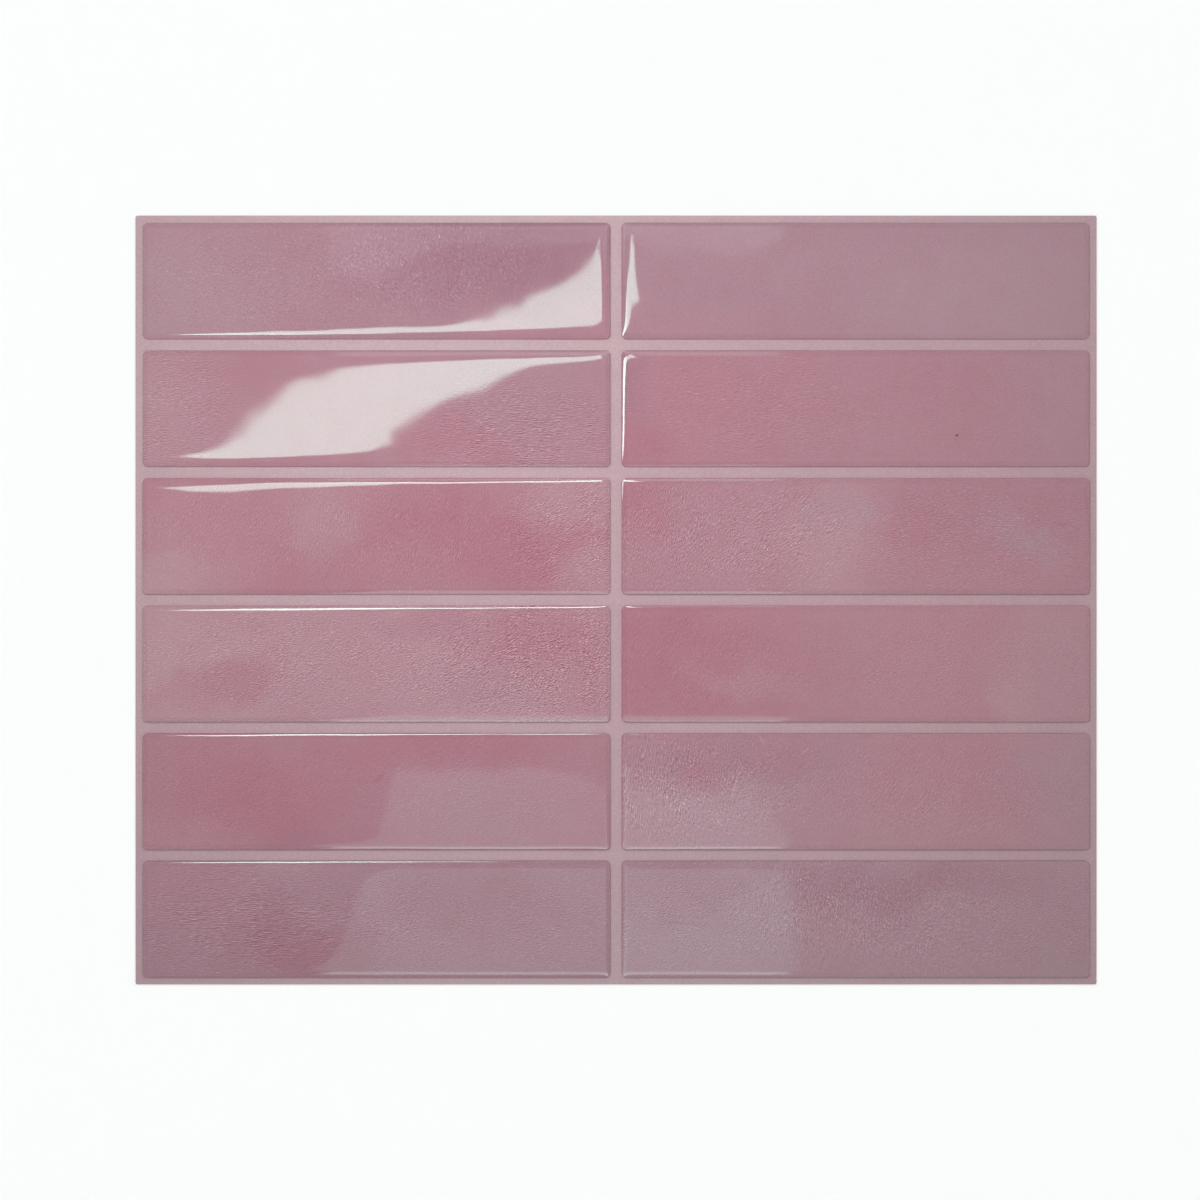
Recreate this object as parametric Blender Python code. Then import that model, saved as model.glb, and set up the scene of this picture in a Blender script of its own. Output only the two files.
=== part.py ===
"""Peel-and-stick backsplash sheet, in metres, with +Z up.

Twelve cast gel tiles stand in two columns and six rows on one printed vinyl film, which carries
the pressure-sensitive adhesive on its underside. A release liner of the film's own outline
covers the adhesive until the sheet is laid. The sheet lies flat: the origin is the middle of
the liner's underside, X runs along the tiles and Y across them.
"""

import math

import bmesh
import bpy

# Layout of the sheet, seen from above
TILE_COLUMNS = 2
TILE_ROWS = 6
TILE_LENGTH = 0.1460
TILE_WIDTH = 0.0364
GROUT_WIDTH = 0.0034
SHEET_MARGIN = 0.0023
SHEET_CORNER_RADIUS = 0.0006

# Laminate, from the bottom up
LINER_THICKNESS = 0.00012
ADHESIVE_LINE = 0.00003
FILM_THICKNESS = 0.00035
CASTING_LINE = 0.00002

# Section of one gel tile: a steep rounded edge, then a meniscus that levels out inwards
GEL_CORNER_RADIUS = 0.0016
GEL_EDGE_WIDTH = 0.0004
GEL_EDGE_HEIGHT = 0.0010
MENISCUS_RISE = 0.00024
MENISCUS_LENGTH = 0.0011

# Fineness of the curved surfaces
SHEET_CORNER_SEGMENTS = 3
GEL_EDGE_STEPS = 4
MENISCUS_STEPS = 4
MENISCUS_LENGTHS_DRAWN = 4
STEP_GRADING = 1.6

FILM_COLOUR = (0.527, 0.366, 0.412, 1.0)
GEL_COLOUR = (0.445, 0.231, 0.287, 1.0)
LINER_COLOUR = (0.80, 0.79, 0.75, 1.0)


def clear_scene():
    """Empties the file of whatever it was opened with."""
    for old in list(bpy.data.objects):
        bpy.data.objects.remove(old)


def make_material(name, colour, roughness):
    """A dielectric surface of one colour."""
    material = bpy.data.materials.new(name)
    material.use_nodes = True
    shader = material.node_tree.nodes["Principled BSDF"]
    shader.inputs["Base Color"].default_value = colour
    shader.inputs["Roughness"].default_value = roughness
    shader.inputs["Metallic"].default_value = 0.0
    return material


def span(count, size, gap):
    """Length of a row of like sizes with a gap between each two."""
    return count * size + (count - 1) * gap


def add_layer(collection, name, thickness, bottom, material):
    """One flat layer of the laminate: a thin box with its four upright edges rounded."""
    length = span(TILE_COLUMNS, TILE_LENGTH, GROUT_WIDTH) + 2 * SHEET_MARGIN
    width = span(TILE_ROWS, TILE_WIDTH, GROUT_WIDTH) + 2 * SHEET_MARGIN
    layer = bmesh.new()
    bmesh.ops.create_cube(layer, size=1.0)
    bmesh.ops.scale(layer, vec=(length, width, thickness), verts=layer.verts)
    upright = [edge for edge in layer.edges if edge.verts[0].co.z * edge.verts[1].co.z < 0]
    bmesh.ops.bevel(
        layer,
        geom=upright,
        offset=SHEET_CORNER_RADIUS,
        segments=SHEET_CORNER_SEGMENTS,
        affect="EDGES",
        profile=0.5,
    )
    mesh = bpy.data.meshes.new(name)
    layer.to_mesh(mesh)
    layer.free()
    mesh.materials.append(material)
    plate = bpy.data.objects.new(name, mesh)
    plate.location.z = bottom + thickness / 2
    collection.objects.link(plate)
    return plate


def insets(half_size):
    """Distances in from a tile's edge at which a grid line runs, up to the tile's middle."""
    turns = [math.pi / 2 * step / GEL_EDGE_STEPS for step in range(GEL_EDGE_STEPS + 1)]
    edge = [GEL_EDGE_WIDTH * (1 - math.cos(turn)) for turn in turns]
    shares = [(step / MENISCUS_STEPS) ** STEP_GRADING for step in range(1, MENISCUS_STEPS + 1)]
    meniscus_width = MENISCUS_LENGTHS_DRAWN * MENISCUS_LENGTH
    meniscus = [GEL_EDGE_WIDTH + meniscus_width * share for share in shares]
    return edge + meniscus + [half_size]


def grid_lines(half_size):
    """Coordinates of the grid lines across a tile, from one edge to the other."""
    low = [inset - half_size for inset in insets(half_size)]
    return low + [-line for line in reversed(low[:-1])]


def round_corner(x, y):
    """Moves a grid point near a corner so that the grid lines there follow the corner's arc."""
    core_x = TILE_LENGTH / 2 - GEL_CORNER_RADIUS
    core_y = TILE_WIDTH / 2 - GEL_CORNER_RADIUS
    past_x = abs(x) - core_x
    past_y = abs(y) - core_y
    if past_x <= 0 or past_y <= 0:
        return x, y
    pull = max(past_x, past_y) / math.hypot(past_x, past_y)
    return math.copysign(core_x + past_x * pull, x), math.copysign(core_y + past_y * pull, y)


def gel_height(x, y, inset):
    """Height of the gel over the film at a point that lies this far in from the outline."""
    turn = math.acos(1 - min(inset / GEL_EDGE_WIDTH, 1.0))
    level_x = 1 - math.exp((abs(x) - TILE_LENGTH / 2) / MENISCUS_LENGTH)
    level_y = 1 - math.exp((abs(y) - TILE_WIDTH / 2) / MENISCUS_LENGTH)
    return math.sin(turn) * (GEL_EDGE_HEIGHT + MENISCUS_RISE * level_x * level_y)


def make_gel_mesh(material):
    """The cast gel of one tile, with its flat underside at z = 0 and its middle at the origin."""
    lines_x = grid_lines(TILE_LENGTH / 2)
    lines_y = grid_lines(TILE_WIDTH / 2)
    cells_x = len(lines_x) - 1
    cells_y = len(lines_y) - 1
    gel = bmesh.new()
    bmesh.ops.create_grid(gel, x_segments=cells_x, y_segments=cells_y, size=1.0)
    for vert in gel.verts:
        x = lines_x[round((vert.co.x + 1) / 2 * cells_x)]
        y = lines_y[round((vert.co.y + 1) / 2 * cells_y)]
        inset = min(TILE_LENGTH / 2 - abs(x), TILE_WIDTH / 2 - abs(y))
        x, y = round_corner(x, y)
        vert.co = (x, y, gel_height(x, y, inset))
    rim = [edge for edge in gel.edges if edge.is_boundary]
    bmesh.ops.edgeloop_fill(gel, edges=rim)
    bmesh.ops.recalc_face_normals(gel, faces=gel.faces)
    mesh = bpy.data.meshes.new("gel_tile")
    gel.to_mesh(mesh)
    gel.free()
    mesh.shade_smooth()
    mesh.set_sharp_from_angle(angle=math.radians(60))
    mesh.materials.append(material)
    return mesh


def add_gel_tiles(collection, film_top, material):
    """The tiles on the film, each parented to an empty that lies in the film's upper face."""
    face = bpy.data.objects.new("film_face", None)
    face.location.z = film_top
    collection.objects.link(face)
    mesh = make_gel_mesh(material)
    pitch_x = TILE_LENGTH + GROUT_WIDTH
    pitch_y = TILE_WIDTH + GROUT_WIDTH
    for row in range(TILE_ROWS):
        for column in range(TILE_COLUMNS):
            tile = bpy.data.objects.new(f"gel_tile_row{row + 1}_col{column + 1}", mesh)
            tile.parent = face
            tile.location.x = (column - (TILE_COLUMNS - 1) / 2) * pitch_x
            tile.location.y = ((TILE_ROWS - 1) / 2 - row) * pitch_y
            tile.location.z = CASTING_LINE
            collection.objects.link(tile)


def main():
    """Builds the laminate from the bottom up."""
    clear_scene()
    sheet = bpy.data.collections.new("peel_and_stick_backsplash_tile")
    bpy.context.scene.collection.children.link(sheet)
    liner_material = make_material("release_paper", LINER_COLOUR, 0.45)
    film_material = make_material("printed_vinyl", FILM_COLOUR, 0.55)
    gel_material = make_material("glossy_gel", GEL_COLOUR, 0.08)
    film_bottom = LINER_THICKNESS + ADHESIVE_LINE
    add_layer(sheet, "release_liner", LINER_THICKNESS, 0.0, liner_material)
    add_layer(sheet, "printed_film", FILM_THICKNESS, film_bottom, film_material)
    add_gel_tiles(sheet, film_bottom + FILM_THICKNESS, gel_material)


main()
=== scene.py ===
# %% [markdown]
# # A peel-and-stick backsplash tile
# The real thing is a thin laminate that is laid on a wall like a sticker. A vinyl film is
# printed with rose glaze fields between grout lines, and clear gel is poured on each field, so
# that it feels and shines like twelve glazed tiles. A release liner covers the adhesive below.
# The solids of that laminate are loaded first. Everything after this dresses them.

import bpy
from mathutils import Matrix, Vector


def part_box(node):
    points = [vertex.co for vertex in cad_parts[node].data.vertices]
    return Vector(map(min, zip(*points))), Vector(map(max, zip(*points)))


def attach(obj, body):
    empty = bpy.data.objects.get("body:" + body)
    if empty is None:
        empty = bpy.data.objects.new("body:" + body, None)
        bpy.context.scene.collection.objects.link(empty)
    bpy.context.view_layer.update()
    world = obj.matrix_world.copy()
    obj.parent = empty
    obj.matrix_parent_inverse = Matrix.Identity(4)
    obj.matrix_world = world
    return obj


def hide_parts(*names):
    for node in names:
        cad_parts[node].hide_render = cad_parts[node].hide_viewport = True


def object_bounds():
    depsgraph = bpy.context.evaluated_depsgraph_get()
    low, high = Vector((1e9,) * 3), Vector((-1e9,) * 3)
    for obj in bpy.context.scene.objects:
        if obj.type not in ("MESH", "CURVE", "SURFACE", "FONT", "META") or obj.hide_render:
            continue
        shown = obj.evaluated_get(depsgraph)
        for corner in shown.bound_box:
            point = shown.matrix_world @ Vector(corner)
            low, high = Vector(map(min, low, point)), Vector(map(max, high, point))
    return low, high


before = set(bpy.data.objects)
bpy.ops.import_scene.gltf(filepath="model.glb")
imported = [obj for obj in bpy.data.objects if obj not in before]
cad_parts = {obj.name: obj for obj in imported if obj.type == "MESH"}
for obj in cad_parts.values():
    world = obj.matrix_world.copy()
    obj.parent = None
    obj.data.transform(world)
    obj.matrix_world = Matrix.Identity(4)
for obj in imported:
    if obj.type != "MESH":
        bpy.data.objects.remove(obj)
cad_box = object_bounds()
print("nodes:", sorted(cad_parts))

# %% [markdown]
# ## The measures of the sheet
# The sizes come from the solids themselves, so nothing here has to be fitted. The film's box
# gives the sheet, and a tile's box gives the place and the height of its gel.

# %% Read the measures
import math

import bpy
from mathutils import Vector

MM = 0.001
ROWS = 6
COLUMNS = 2
TILE_NAMES = [f"row{row + 1}_col{column + 1}" for row in range(ROWS) for column in range(COLUMNS)]
film_low, film_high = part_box("printed_film")
sheet_size = film_high - film_low
print("sheet in mm:", [round(side / MM, 2) for side in sheet_size])

# %% [markdown]
# ## The camera
# The photograph looks straight down on the sheet. How high the camera stood only shows in the
# reflections: 0.6 m fits how the bright lamp bends in the rims of the tiles. The lens then
# follows from the width of table in the square picture, and the sheet lies 5 mm off its middle.

# %% Set up the camera
CAMERA_HEIGHT = 0.6
CAMERA_X = -0.005
PICTURE_WIDTH = 0.3738
SENSOR_WIDTH = 36.0


def add_object(name, data):
    """A new object in the scene, at the origin."""
    thing = bpy.data.objects.new(name, data)
    bpy.context.scene.collection.objects.link(thing)
    return thing


camera_data = bpy.data.cameras.new("camera")
camera_data.sensor_width = SENSOR_WIDTH
camera_data.lens = SENSOR_WIDTH * CAMERA_HEIGHT / PICTURE_WIDTH
camera = add_object("camera", camera_data)
camera.location = (CAMERA_X, 0.0, cad_box[1].z + CAMERA_HEIGHT)
bpy.context.scene.camera = camera
print("lens in mm:", round(camera_data.lens, 1))

# %% [markdown]
# ## Small helpers for node trees
# Geometry and shader trees are wired the same way: a socket gets either a link or a value.
# With a helper for each kind of sum, a formula in a tree reads like a formula in Python.

# %% Helpers for node trees
NODES_PER_COLUMN = 8
NODE_STEP_X = 200
NODE_STEP_Y = -180


def add_node(tree, kind, **settings):
    """A new node, set down in the next free place of a plain grid."""
    column, row = divmod(len(tree.nodes), NODES_PER_COLUMN)
    node = tree.nodes.new(kind)
    node.location = (column * NODE_STEP_X, row * NODE_STEP_Y)
    for name, value in settings.items():
        setattr(node, name, value)
    return node


def feed(tree, socket, value):
    """Links an output to a socket, or writes a plain value into it."""
    if isinstance(value, bpy.types.NodeSocket):
        tree.links.new(value, socket)
    else:
        socket.default_value = value


def calc(tree, operation, *values):
    """One sum on numbers."""
    node = add_node(tree, "ShaderNodeMath", operation=operation)
    for socket, value in zip(node.inputs, values):
        feed(tree, socket, value)
    return node.outputs[0]


def vector_calc(tree, operation, *values):
    """One sum on vectors. A length or a dot product comes out as a number."""
    node = add_node(tree, "ShaderNodeVectorMath", operation=operation)
    for socket, value in zip(node.inputs, values):
        feed(tree, socket, value)
    return node.outputs["Value" if operation in ("LENGTH", "DOT_PRODUCT") else "Vector"]


def scaled(tree, vector, factor):
    """A vector times a number."""
    node = add_node(tree, "ShaderNodeVectorMath", operation="SCALE")
    feed(tree, node.inputs[0], vector)
    feed(tree, node.inputs["Scale"], factor)
    return node.outputs["Vector"]


def split(tree, vector):
    """The three numbers of a vector."""
    node = add_node(tree, "ShaderNodeSeparateXYZ")
    feed(tree, node.inputs[0], vector)
    return node.outputs


def joined(tree, x, y, z=0.0):
    """A vector of three numbers."""
    node = add_node(tree, "ShaderNodeCombineXYZ")
    for socket, value in zip(node.inputs, (x, y, z)):
        feed(tree, socket, value)
    return node.outputs[0]


def new_tree(name, kind, inputs, outputs):
    """A node tree with named sockets. Gives the tree, its inputs and its output node's sockets."""
    tree = bpy.data.node_groups.new(name, kind)
    for socket_name, socket_type in inputs:
        tree.interface.new_socket(socket_name, in_out="INPUT", socket_type="NodeSocket" + socket_type)
    for socket_name, socket_type in outputs:
        tree.interface.new_socket(socket_name, in_out="OUTPUT", socket_type="NodeSocket" + socket_type)
    return tree, add_node(tree, "NodeGroupInput").outputs, add_node(tree, "NodeGroupOutput").inputs


# %% [markdown]
# ## The shape of the cast gel
# On the real sheet, liquid gel is poured on each printed field. Surface tension holds it at the
# field's outline, so it ends in a steep rounded edge, rises along a meniscus and levels out.
# The lamp's reflection follows that meniscus around the rim, so its slope has to be right.
# It could be sculpted, but the shape follows a rule, and Geometry Nodes can state the rule:
# a flat grid is graded towards its edges, rounded at its corners and lifted by a formula.
#
# The distance in from the outline, `inset`, makes the edge: a quarter ellipse over the edge's
# width. It is multiplied by the edge's height plus the meniscus, which nears its full rise
# exponentially with the distance from each side. A slow noise and a slight lean are added to
# that, and stand for gel that set on a table that wasn't quite level.

# %% Geometry Nodes tree of one gel tile
# Past the edge, the grid's steps grow exponentially towards the middle: the last is e to the
# power of GRADING times as wide as the first.
GRADING = 2.6
GRID_SPAN = 2.0

gel_tree, gel_in, gel_out = new_tree(
    "cast_gel_tile",
    "GeometryNodeTree",
    [
        ("Middle", "Vector"),
        ("Length", "Float"),
        ("Width", "Float"),
        ("Corner Radius", "Float"),
        ("Edge Width", "Float"),
        ("Edge Height", "Float"),
        ("Meniscus Rise", "Float"),
        ("Meniscus Length", "Float"),
        ("Lean", "Vector"),
        ("Sway Height", "Float"),
        ("Sway Size", "Float"),
        ("Seed", "Float"),
        ("Cells Along", "Int"),
        ("Cells Across", "Int"),
        ("Edge Cells", "Int"),
        ("Material", "Material"),
    ],
    [("Geometry", "Geometry")],
)
gel_tree.is_modifier = True


def graded_inset(tree, unit, half, cells):
    """How far in from the edge a grid line lies, from its place between -1 and 1."""
    from_edge = calc(tree, "SUBTRACT", 1.0, calc(tree, "ABSOLUTE", unit))
    edge_share = calc(tree, "DIVIDE", calc(tree, "MULTIPLY", gel_in["Edge Cells"], GRID_SPAN), cells)
    turn = calc(tree, "MINIMUM", calc(tree, "DIVIDE", from_edge, edge_share), 1.0)
    bend = calc(tree, "SUBTRACT", 1.0, calc(tree, "COSINE", calc(tree, "MULTIPLY", turn, math.pi / 2)))
    edge = calc(tree, "MULTIPLY", bend, gel_in["Edge Width"])
    past = calc(tree, "SUBTRACT", from_edge, edge_share)
    share = calc(tree, "DIVIDE", past, calc(tree, "SUBTRACT", 1.0, edge_share))
    steps = calc(tree, "EXPONENT", calc(tree, "MULTIPLY", calc(tree, "MAXIMUM", share, 0.0), GRADING))
    grown = calc(tree, "DIVIDE", calc(tree, "SUBTRACT", steps, 1.0), math.exp(GRADING) - 1)
    inner = calc(tree, "MULTIPLY", grown, calc(tree, "SUBTRACT", half, gel_in["Edge Width"]))
    return calc(tree, "ADD", edge, inner)


half_length = calc(gel_tree, "MULTIPLY", gel_in["Length"], 0.5)
half_width = calc(gel_tree, "MULTIPLY", gel_in["Width"], 0.5)
grid = add_node(gel_tree, "GeometryNodeMeshGrid")
feed(gel_tree, grid.inputs["Size X"], GRID_SPAN)
feed(gel_tree, grid.inputs["Size Y"], GRID_SPAN)
feed(gel_tree, grid.inputs["Vertices X"], calc(gel_tree, "ADD", gel_in["Cells Along"], 1.0))
feed(gel_tree, grid.inputs["Vertices Y"], calc(gel_tree, "ADD", gel_in["Cells Across"], 1.0))
unit = split(gel_tree, add_node(gel_tree, "GeometryNodeInputPosition").outputs[0])
inset_x = graded_inset(gel_tree, unit[0], half_length, gel_in["Cells Along"])
inset_y = graded_inset(gel_tree, unit[1], half_width, gel_in["Cells Across"])
inset = calc(gel_tree, "MINIMUM", inset_x, inset_y)

# %% Round the corners of the grid
# The part of a point that lies past the round corner's centre is pulled in, from the square
# that the grid makes there to a circle. TINY keeps the sum from dividing by zero elsewhere.
TINY = 1e-9

far = joined(
    gel_tree,
    calc(gel_tree, "SUBTRACT", half_length, inset_x),
    calc(gel_tree, "SUBTRACT", half_width, inset_y),
)
corner = joined(gel_tree, gel_in["Corner Radius"], gel_in["Corner Radius"])
core = vector_calc(gel_tree, "SUBTRACT", joined(gel_tree, half_length, half_width), corner)
inner_part = vector_calc(gel_tree, "MINIMUM", far, core)
past_part = vector_calc(gel_tree, "SUBTRACT", far, inner_part)
past_xy = split(gel_tree, past_part)
longest = calc(gel_tree, "MAXIMUM", past_xy[0], past_xy[1])
reach = calc(gel_tree, "MAXIMUM", vector_calc(gel_tree, "LENGTH", past_part), TINY)
pulled = scaled(gel_tree, past_part, calc(gel_tree, "DIVIDE", longest, reach))
rounded = split(gel_tree, vector_calc(gel_tree, "ADD", inner_part, pulled))
place_x = calc(gel_tree, "MULTIPLY", rounded[0], calc(gel_tree, "SIGN", unit[0]))
place_y = calc(gel_tree, "MULTIPLY", rounded[1], calc(gel_tree, "SIGN", unit[1]))

# %% Lift the grid into edge, meniscus and level gel
# A noise lies around NOISE_MIDDLE, which is taken off so that it goes up as well as down.
NOISE_MIDDLE = 0.5
SWAY_DETAIL = 1.0


def level_share(reached, half):
    """Share of its full rise that the gel has here, as far as one pair of edges goes."""
    distance = calc(gel_tree, "DIVIDE", calc(gel_tree, "SUBTRACT", reached, half), gel_in["Meniscus Length"])
    return calc(gel_tree, "SUBTRACT", 1.0, calc(gel_tree, "EXPONENT", distance))


level = calc(
    gel_tree, "MULTIPLY", level_share(rounded[0], half_length), level_share(rounded[1], half_width)
)
flat_place = joined(gel_tree, place_x, place_y)
sway_place = vector_calc(gel_tree, "ADD", flat_place, gel_in["Middle"])
sway = add_node(gel_tree, "ShaderNodeTexNoise", noise_dimensions="4D")
feed(gel_tree, sway.inputs["Vector"], sway_place)
feed(gel_tree, sway.inputs["W"], gel_in["Seed"])
feed(gel_tree, sway.inputs["Scale"], calc(gel_tree, "DIVIDE", 1.0, gel_in["Sway Size"]))
feed(gel_tree, sway.inputs["Detail"], SWAY_DETAIL)
sway_share = calc(gel_tree, "SUBTRACT", sway.outputs[0], NOISE_MIDDLE)
sway_lift = calc(gel_tree, "MULTIPLY", sway_share, gel_in["Sway Height"])
rise = calc(gel_tree, "MULTIPLY", calc(gel_tree, "ADD", gel_in["Meniscus Rise"], sway_lift), level)
lean_lift = vector_calc(gel_tree, "DOT_PRODUCT", flat_place, gel_in["Lean"])
body = calc(gel_tree, "ADD", calc(gel_tree, "ADD", gel_in["Edge Height"], rise), lean_lift)
past_edge = calc(gel_tree, "MINIMUM", calc(gel_tree, "DIVIDE", inset, gel_in["Edge Width"]), 1.0)
turn_angle = calc(gel_tree, "ARCCOSINE", calc(gel_tree, "SUBTRACT", 1.0, past_edge))
place_z = calc(gel_tree, "MULTIPLY", calc(gel_tree, "SINE", turn_angle), body)
lifted_place = joined(gel_tree, place_x, place_y, place_z)

# %% Close the gel below, and give it its place
# The rim of the grid becomes a curve, which is filled as one flat face, turned to look down.
# An edge on the rim has one face beside it, and every other edge has two. The inset is stored
# in millimetres on every point, so that the material can find the rim.
INSET_ATTRIBUTE = "inset_mm"
ONE_FACE_OR_TWO = 1.5
WELD_DISTANCE = 1e-7


def after(kind, geometry, inputs=None, **settings):
    """The geometry that comes out of a node, from the one that goes into it."""
    node = add_node(gel_tree, kind, **settings)
    feed(gel_tree, node.inputs[0], geometry)
    for name, value in (inputs or {}).items():
        feed(gel_tree, node.inputs[name], value)
    return node.outputs[0]


inset_mark = {"Name": INSET_ATTRIBUTE, "Value": calc(gel_tree, "DIVIDE", inset, MM)}
marked = after("GeometryNodeStoreNamedAttribute", grid.outputs["Mesh"], inset_mark, data_type="FLOAT")
top = after("GeometryNodeSetPosition", marked, {"Position": lifted_place})
smooth_top = after("GeometryNodeSetShadeSmooth", top)
neighbours = add_node(gel_tree, "GeometryNodeInputMeshEdgeNeighbors").outputs[0]
on_rim = calc(gel_tree, "LESS_THAN", neighbours, ONE_FACE_OR_TWO)
rim_curve = after("GeometryNodeMeshToCurve", top, {"Selection": on_rim})
bottom = after("GeometryNodeFillCurve", rim_curve, mode="NGONS")
bottom = after("GeometryNodeFlipFaces", bottom)
bottom = after("GeometryNodeSetShadeSmooth", bottom, {"Shade Smooth": False})
whole = add_node(gel_tree, "GeometryNodeJoinGeometry")
feed(gel_tree, whole.inputs["Geometry"], smooth_top)
feed(gel_tree, whole.inputs["Geometry"], bottom)
welded = after("GeometryNodeMergeByDistance", whole.outputs["Geometry"], {"Distance": WELD_DISTANCE})
moved = after("GeometryNodeSetPosition", welded, {"Offset": gel_in["Middle"]})
real = after("GeometryNodeRealizeInstances", moved)
painted = after("GeometryNodeSetMaterial", real, {"Material": gel_in["Material"]})
feed(gel_tree, gel_out["Geometry"], painted)
print("gel tree:", len(gel_tree.nodes), "nodes")

# %% [markdown]
# ## Patterns that several finishes share
# The print under the gel imitates a glaze: soft clouds between dusty rose and pale mauve, a
# fine grain, and the fine wrinkles of a hand-made tile. Each of these is a shader node group,
# made once, that works in millimetres on the sheet and puts out a mask, a height or a light.
#
# A cloud is an ellipse with a soft outline. The place that it is asked about is bent by a slow
# noise first, so that no outline looks drawn.

# %% Group for one soft cloud
patch_tree, patch_in, patch_out = new_tree(
    "soft_patch",
    "ShaderNodeTree",
    [
        ("Place", "Vector"),
        ("Middle", "Vector"),
        ("Half Length", "Float"),
        ("Half Width", "Float"),
        ("Turn", "Float"),
        ("Softness", "Float"),
    ],
    [("Mask", "Float")],
)


def turned(tree, vector, angle):
    """A vector turned about the upright axis."""
    node = add_node(tree, "ShaderNodeVectorRotate", rotation_type="Z_AXIS")
    feed(tree, node.inputs["Vector"], vector)
    feed(tree, node.inputs["Angle"], angle)
    return node.outputs[0]


def smooth_step(tree, value, start, end):
    """Goes softly from 0 to 1 between start and end, which may run downwards."""
    node = add_node(tree, "ShaderNodeMapRange", interpolation_type="SMOOTHSTEP")
    feed(tree, node.inputs["Value"], value)
    feed(tree, node.inputs["From Min"], start)
    feed(tree, node.inputs["From Max"], end)
    return node.outputs["Result"]


off = vector_calc(patch_tree, "SUBTRACT", patch_in["Place"], patch_in["Middle"])
off = turned(patch_tree, off, calc(patch_tree, "MULTIPLY", patch_in["Turn"], -1.0))
halves = joined(patch_tree, patch_in["Half Length"], patch_in["Half Width"], 1.0)
reach = vector_calc(patch_tree, "LENGTH", vector_calc(patch_tree, "DIVIDE", off, halves))
outer = calc(patch_tree, "ADD", 1.0, patch_in["Softness"])
inner = calc(patch_tree, "SUBTRACT", 1.0, patch_in["Softness"])
feed(patch_tree, patch_out["Mask"], smooth_step(patch_tree, reach, outer, inner))

# %% [markdown]
# The wrinkles are short fine strokes, as on tooled leather. They lie together in patches, and
# each patch has a direction of its own. A noise that is stretched along them and bent a little
# gives their height. Its ridges are lighter than its valleys. A second look at the height, a
# short step towards the lamp, paints a lit and a shaded flank, painted shade as if the lamp
# fell on the relief, and the highest peaks get a painted glint.

# %% Helpers for noises and groups


def noise(tree, place, detail=0.0, roughness=0.5, output="Factor"):
    """A noise of one unit to a bump, at a place in units of its own."""
    node = add_node(tree, "ShaderNodeTexNoise", noise_dimensions="3D")
    feed(tree, node.inputs["Vector"], place)
    feed(tree, node.inputs["Scale"], 1.0)
    feed(tree, node.inputs["Detail"], detail)
    feed(tree, node.inputs["Roughness"], roughness)
    return node.outputs[0 if output == "Factor" else 1]


def bent_place(tree, place, size, reach, seed, detail=1.0):
    """A place moved about by a slow noise, in millimetres."""
    slow = vector_calc(tree, "ADD", scaled(tree, place, 1 / size), joined(tree, 0.0, 0.0, seed))
    bend = noise(tree, slow, detail, output="Color")
    bend = vector_calc(tree, "SUBTRACT", bend, (NOISE_MIDDLE, NOISE_MIDDLE, NOISE_MIDDLE))
    return vector_calc(tree, "ADD", place, scaled(tree, bend, reach))


def place_group(tree, group, **inputs):
    """A group node with some of its inputs fed. An underscore in a name stands for a space."""
    node = add_node(tree, "ShaderNodeGroup", node_tree=group)
    for name, value in inputs.items():
        feed(tree, node.inputs[name.replace("_", " ")], value)
    return node.outputs


# %% Group for the height of the strokes
STROKE_SOCKETS = [
    ("Place", "Vector"),
    ("Turn", "Float"),
    ("Stroke Length", "Float"),
    ("Stroke Width", "Float"),
    ("Seed", "Float"),
]
STROKE_BEND_SIZE = 7.0
STROKE_BEND_REACH = 1.6
STROKE_DETAIL = 2.0
STROKE_ROUGHNESS = 0.6

height_tree, height_in, height_out = new_tree(
    "stroke_height", "ShaderNodeTree", STROKE_SOCKETS, [("Height", "Float")]
)
bent = bent_place(
    height_tree, height_in["Place"], STROKE_BEND_SIZE, STROKE_BEND_REACH, height_in["Seed"]
)
along = turned(height_tree, bent, calc(height_tree, "MULTIPLY", height_in["Turn"], -1.0))
cell = joined(height_tree, height_in["Stroke Length"], height_in["Stroke Width"], 1.0)
stretched = vector_calc(
    height_tree,
    "ADD",
    vector_calc(height_tree, "DIVIDE", along, cell),
    joined(height_tree, 0.0, 0.0, height_in["Seed"]),
)
waves = noise(height_tree, stretched, STROKE_DETAIL, STROKE_ROUGHNESS)
feed(height_tree, height_out["Height"], calc(height_tree, "SUBTRACT", waves, NOISE_MIDDLE))

# %% Group for one patch of strokes
RIDGE_LIGHT = 1.1
PAINTED_FLANK_LIGHT = 2.5
PAINTED_GLINT_LIGHT = 1.6
PAINTED_GLINT_PEAKS = (0.62, 0.84)
UNEVEN_SIZE = 8.0
UNEVEN_DETAIL = 2.0
UNEVEN_RANGE = (0.30, 0.60)
UNEVEN_LEAST = 0.45
PATCH_SOFTNESS = 0.5
LAMP_STEP = (-0.08, 0.16, 0.0)

relief_tree, relief_in, relief_out = new_tree(
    "wrinkle_patch",
    "ShaderNodeTree",
    STROKE_SOCKETS + [("Middle", "Vector"), ("Half Length", "Float"), ("Half Width", "Float")],
    [("Height", "Float"), ("Light", "Float")],
)


def stroke_height_at(place):
    """The strokes' height at a place, with the patch group's own inputs."""
    rest = {name.replace(" ", "_"): relief_in[name] for name, kind in STROKE_SOCKETS[1:]}
    return place_group(relief_tree, height_tree, Place=place, **rest)["Height"]


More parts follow.
